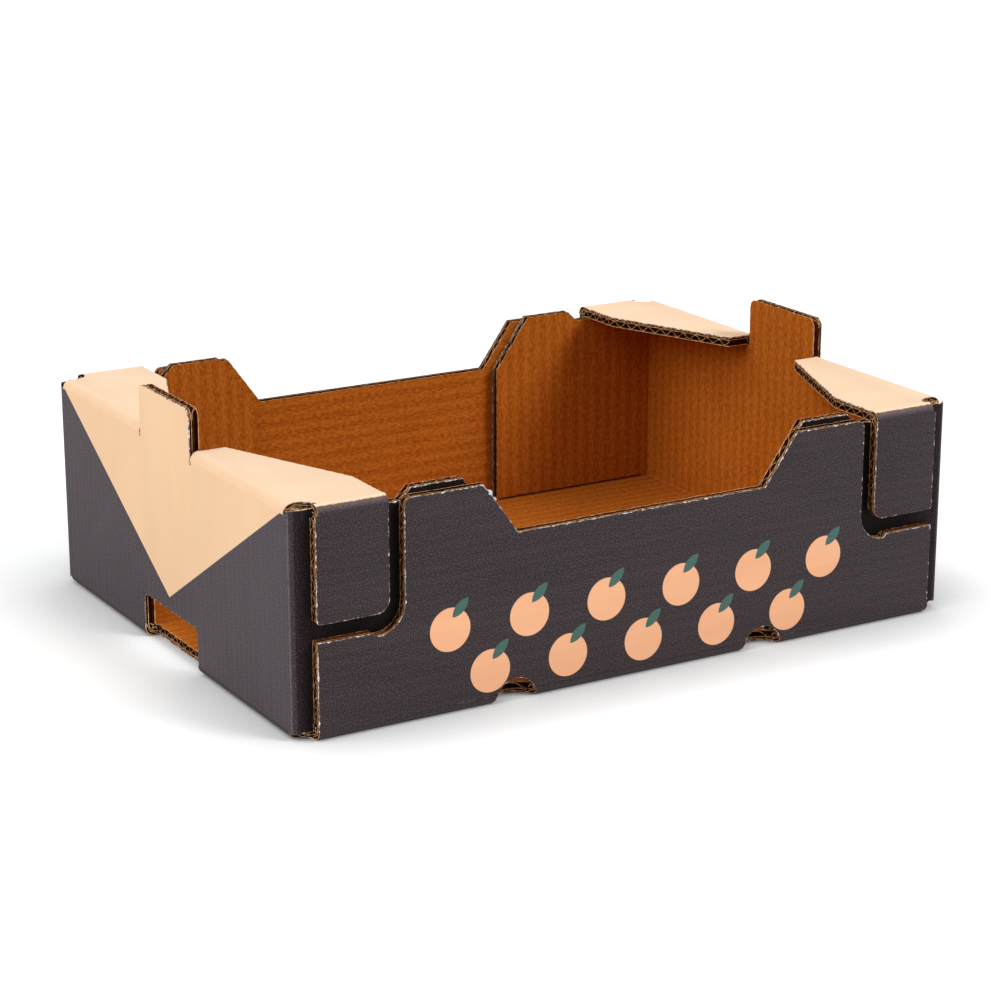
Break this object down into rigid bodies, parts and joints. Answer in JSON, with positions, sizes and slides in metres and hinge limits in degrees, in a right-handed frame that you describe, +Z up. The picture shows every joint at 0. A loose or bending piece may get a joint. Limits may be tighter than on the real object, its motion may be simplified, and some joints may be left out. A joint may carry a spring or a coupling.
{
  "type": "cardboard tray box",
  "caption": "Low open rectangular tray box folded from double-wall corrugated board, with corner decks, a stacking tab and slot at each end and a dip in each long side.",
  "frame": {"origin": "centre of the bounding box in plan, on the ground under the tray", "axes": "+X along the long sides, +Y across the tray, +Z up out of the open top"},
  "size_m": [0.4, 0.3, 0.142],
  "materials": {
    "board": "double-wall corrugated board, kraft inside and a printed white-top liner outside"
  },
  "bodies": {
    "root": {"tray": "board"}
  },
  "joints": []
}
